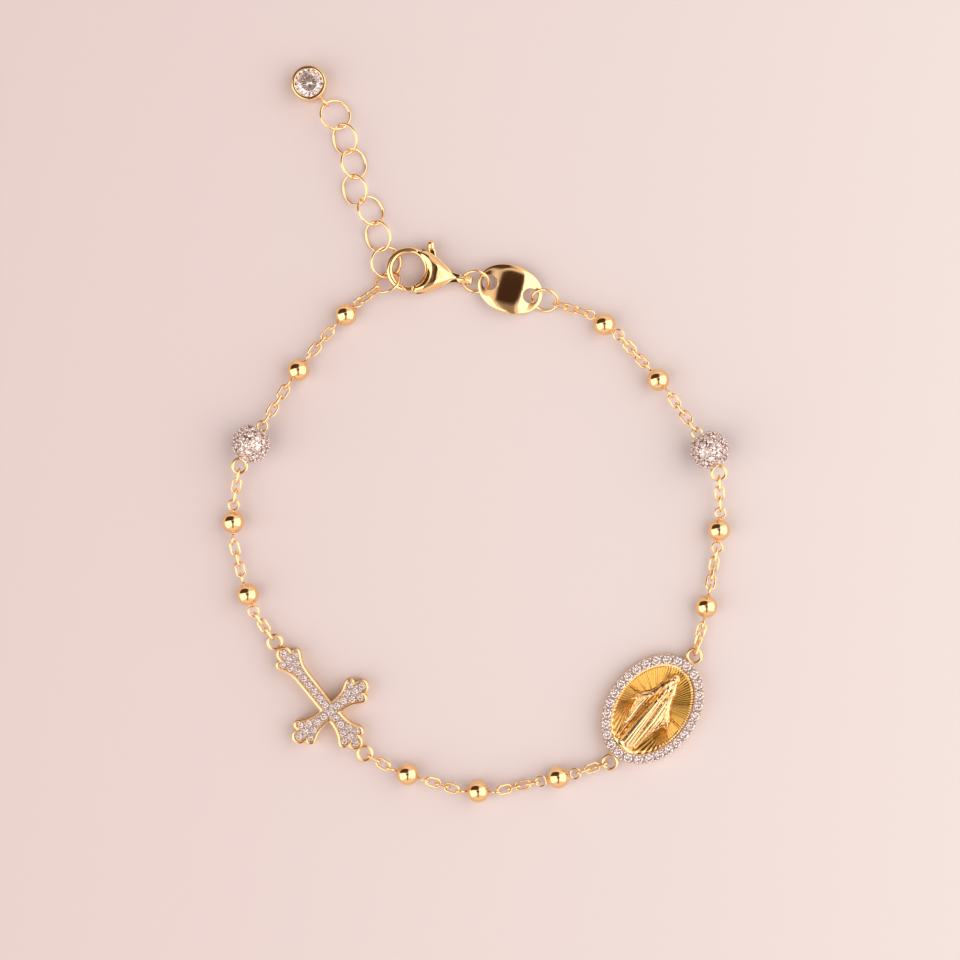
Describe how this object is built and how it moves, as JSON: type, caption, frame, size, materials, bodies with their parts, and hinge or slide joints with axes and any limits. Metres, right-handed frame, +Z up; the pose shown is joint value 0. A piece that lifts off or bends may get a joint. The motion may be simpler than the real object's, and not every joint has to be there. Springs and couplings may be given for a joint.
{
  "type": "chain bracelet",
  "caption": "Fine chain bracelet lying closed in a loop: plain beads, pave balls, a pave cross, an oval figure medal, a lobster clasp, a plain tag and a link extender.",
  "frame": {"origin": "middle of the bounding box at its lowest face, on the surface that the bracelet lies on", "axes": "+Y across the loop from the medal's side to the extender's drop, +X to the right with the medal at the lower right, +Z up from the surface"},
  "size_m": [0.0522, 0.0758, 0.004],
  "materials": {
    "gold_plate": "polished yellow gold plate on silver",
    "rhodium_plate": "polished rhodium plate on silver",
    "crystal": "faceted clear stones"
  },
  "bodies": {
    "bracelet": {"clasp_hook": "gold_plate", "clasp_ring": "gold_plate", "tag": "gold_plate", "tag_ring": "gold_plate", "medal_frame": "rhodium_plate", "medal_disc": "gold_plate", "medal_stones": "crystal", "cross_frame": "gold_plate", "cross_stones": "crystal", "pave_ball_left": "rhodium_plate", "ball_stones_left": "crystal", "pave_ball_right": "rhodium_plate", "ball_stones_right": "crystal", "bead_pins": "gold_plate", "end_bezel": "gold_plate", "end_stone": "crystal", "bead_1": "gold_plate", "bead_2": "gold_plate", "bead_3": "gold_plate", "bead_4": "gold_plate", "bead_5": "gold_plate", "bead_6": "gold_plate", "bead_7": "gold_plate", "bead_8": "gold_plate", "bead_9": "gold_plate", "bead_10": "gold_plate", "bead_11": "gold_plate", "chain_1": "gold_plate", "chain_2": "gold_plate", "chain_3": "gold_plate", "chain_4": "gold_plate", "chain_5": "gold_plate", "chain_6": "gold_plate", "chain_7": "gold_plate", "chain_8": "gold_plate", "chain_9": "gold_plate", "chain_10": "gold_plate", "chain_11": "gold_plate", "chain_12": "gold_plate", "chain_13": "gold_plate", "chain_14": "gold_plate", "chain_15": "gold_plate", "chain_16": "gold_plate", "extender_link_1": "gold_plate", "extender_link_2": "gold_plate", "extender_link_3": "gold_plate", "extender_link_4": "gold_plate", "extender_link_5": "gold_plate", "extender_link_6": "gold_plate", "extender_link_7": "gold_plate", "extender_link_8": "gold_plate"},
    "lever": {"clasp_lever": "gold_plate"}
  },
  "joints": [
    {"name": "lever_hinge", "type": "hinge", "parent": "bracelet", "child": "lever", "pos_m": [-0.00506, 0.01533, 0.0011], "axis": [0, 0, 1], "range_deg": [-20, 0], "stiffness_Nm_per_rad": 0.00002}
  ]
}
